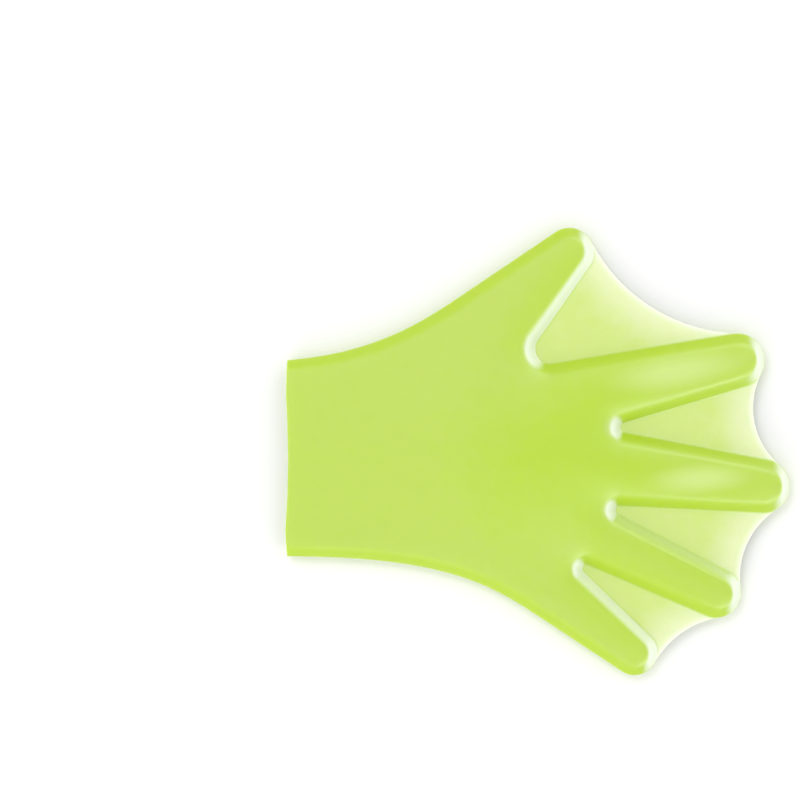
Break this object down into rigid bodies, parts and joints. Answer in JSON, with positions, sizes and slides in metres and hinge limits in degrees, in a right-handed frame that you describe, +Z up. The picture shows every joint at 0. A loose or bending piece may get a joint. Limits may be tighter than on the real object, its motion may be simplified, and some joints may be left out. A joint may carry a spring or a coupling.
{
  "type": "webbed swim glove",
  "caption": "Soft one-piece swim glove: an open cuff, a hollow hand and blind finger sleeves, spread and joined by thin webs that push against the water.",
  "frame": {"origin": "middle of the length and of the span, on the surface that the palm side lies on", "axes": "+X from the open cuff towards the fingertips, +Y towards the thumb, +Z up, out of the back of the hand"},
  "size_m": [0.2052, 0.1822, 0.0184],
  "materials": {
    "silicone": "lime green moulded silicone, matte, translucent where it is thin"
  },
  "bodies": {
    "root": {"webbed_glove": "silicone"}
  },
  "joints": []
}
